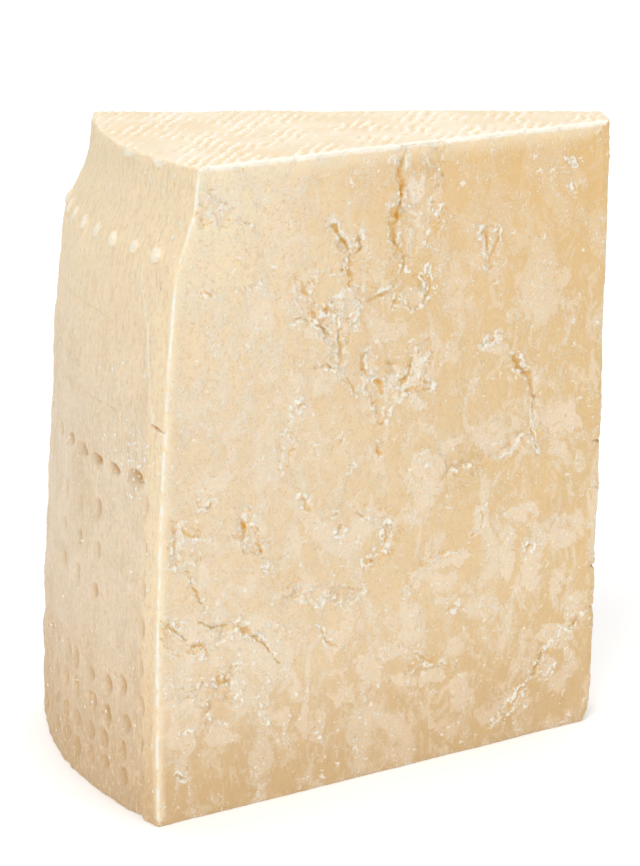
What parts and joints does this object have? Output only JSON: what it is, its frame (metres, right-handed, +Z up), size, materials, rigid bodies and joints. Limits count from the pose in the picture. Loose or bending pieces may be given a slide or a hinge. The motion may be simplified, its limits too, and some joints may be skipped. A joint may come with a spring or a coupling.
{
  "type": "cheese wedge",
  "caption": "Half-height wedge of hard, granular cheese with crumbly cut faces, a trimmed tip, and a moulded rind with a bumped rim band.",
  "frame": {"origin": "centre of the bounding box on the flat mid-height cut that the wedge stands on", "axes": "+Z up along the wheel's axis, +X from the rind to the trimmed tip along the line that halves the two knife cuts, +Y from the front cut to the back cut"},
  "size_m": [0.1293, 0.0728, 0.145],
  "materials": {
    "hard_cheese": "dull, slightly waxy and granular, pale straw colour"
  },
  "bodies": {
    "root": {"cheese_wedge": "hard_cheese"}
  },
  "joints": []
}
